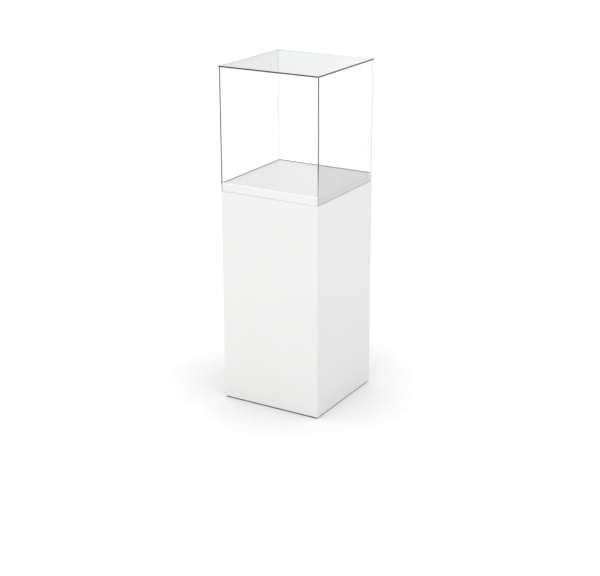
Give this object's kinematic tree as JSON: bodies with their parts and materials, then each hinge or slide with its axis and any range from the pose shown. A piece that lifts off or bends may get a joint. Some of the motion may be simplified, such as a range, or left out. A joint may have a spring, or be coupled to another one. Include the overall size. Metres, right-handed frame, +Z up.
{
  "type": "pedestal display case",
  "caption": "Square white plinth with a raised deck, under a clear five-sided cover that stands on the ledge around the deck and lifts off; levelling feet inside the base.",
  "frame": {"origin": "on the floor, under the middle of the case", "axes": "+Z up, the front faces -Y and the right side faces +X"},
  "size_m": [0.4, 0.4, 1.25],
  "materials": {
    "lacquer": "satin",
    "acrylic": "polished",
    "board": "matte",
    "pine": "matte",
    "base_strip": "satin",
    "zinc": "satin",
    "nylon": "satin"
  },
  "bodies": {
    "plinth": {"front_panel": "lacquer", "right_panel": "lacquer", "rear_panel": "lacquer", "left_panel": "lacquer", "deck": "lacquer", "sub_top": "board", "bottom_panel": "board", "front_left_batten": "pine", "front_right_batten": "pine", "rear_left_batten": "pine", "rear_right_batten": "pine", "front_cleat": "pine", "right_cleat": "pine", "rear_cleat": "pine", "left_cleat": "pine", "front_base_strip": "base_strip", "right_base_strip": "base_strip", "rear_base_strip": "base_strip", "left_base_strip": "base_strip", "front_strip_screw_1": "zinc", "front_strip_screw_2": "zinc", "right_strip_screw_1": "zinc", "right_strip_screw_2": "zinc", "rear_strip_screw_1": "zinc", "rear_strip_screw_2": "zinc", "left_strip_screw_1": "zinc", "left_strip_screw_2": "zinc", "deck_screw_1": "zinc", "deck_screw_2": "zinc", "deck_screw_3": "zinc", "deck_screw_4": "zinc", "deck_screw_5": "zinc", "deck_screw_6": "zinc", "deck_screw_7": "zinc", "deck_screw_8": "zinc", "front_left_tee_nut": "zinc", "front_right_tee_nut": "zinc", "rear_left_tee_nut": "zinc", "rear_right_tee_nut": "zinc"},
    "cover": {"cover_front_pane": "acrylic", "cover_right_pane": "acrylic", "cover_rear_pane": "acrylic", "cover_left_pane": "acrylic", "cover_top_pane": "acrylic"},
    "front_left_foot_pad": {"front_left_foot_pad": "nylon"},
    "front_left_foot_stud": {"front_left_foot_stud": "zinc"},
    "front_right_foot_pad": {"front_right_foot_pad": "nylon"},
    "front_right_foot_stud": {"front_right_foot_stud": "zinc"},
    "rear_left_foot_pad": {"rear_left_foot_pad": "nylon"},
    "rear_left_foot_stud": {"rear_left_foot_stud": "zinc"},
    "rear_right_foot_pad": {"rear_right_foot_pad": "nylon"},
    "rear_right_foot_stud": {"rear_right_foot_stud": "zinc"}
  },
  "joints": [
    {"name": "cover_lift", "type": "slide", "parent": "plinth", "child": "cover", "axis": [0, 0, 1], "range_m": [0, 0.45]},
    {"name": "front_left_foot_height", "type": "slide", "parent": "plinth", "child": "front_left_foot_pad", "axis": [0, 0, -1], "range_m": [0, 0.012]},
    {"name": "front_left_foot_turn", "type": "hinge", "parent": "front_left_foot_pad", "child": "front_left_foot_stud", "pos_m": [-0.1398, -0.1398, 0.0071], "axis": [0, 0, -1], "range_deg": [0, 3456]},
    {"name": "front_right_foot_height", "type": "slide", "parent": "plinth", "child": "front_right_foot_pad", "axis": [0, 0, -1], "range_m": [0, 0.012]},
    {"name": "front_right_foot_turn", "type": "hinge", "parent": "front_right_foot_pad", "child": "front_right_foot_stud", "pos_m": [0.1398, -0.1398, 0.0071], "axis": [0, 0, -1], "range_deg": [0, 3456]},
    {"name": "rear_left_foot_height", "type": "slide", "parent": "plinth", "child": "rear_left_foot_pad", "axis": [0, 0, -1], "range_m": [0, 0.012]},
    {"name": "rear_left_foot_turn", "type": "hinge", "parent": "rear_left_foot_pad", "child": "rear_left_foot_stud", "pos_m": [-0.1398, 0.1398, 0.0071], "axis": [0, 0, -1], "range_deg": [0, 3456]},
    {"name": "rear_right_foot_height", "type": "slide", "parent": "plinth", "child": "rear_right_foot_pad", "axis": [0, 0, -1], "range_m": [0, 0.012]},
    {"name": "rear_right_foot_turn", "type": "hinge", "parent": "rear_right_foot_pad", "child": "rear_right_foot_stud", "pos_m": [0.1398, 0.1398, 0.0071], "axis": [0, 0, -1], "range_deg": [0, 3456]}
  ],
  "couplings": [
    {"joint": "front_left_foot_turn", "follows": "front_left_foot_height", "rad_per_m": 5026.5},
    {"joint": "front_right_foot_turn", "follows": "front_right_foot_height", "rad_per_m": 5026.5},
    {"joint": "rear_left_foot_turn", "follows": "rear_left_foot_height", "rad_per_m": 5026.5},
    {"joint": "rear_right_foot_turn", "follows": "rear_right_foot_height", "rad_per_m": 5026.5}
  ]
}
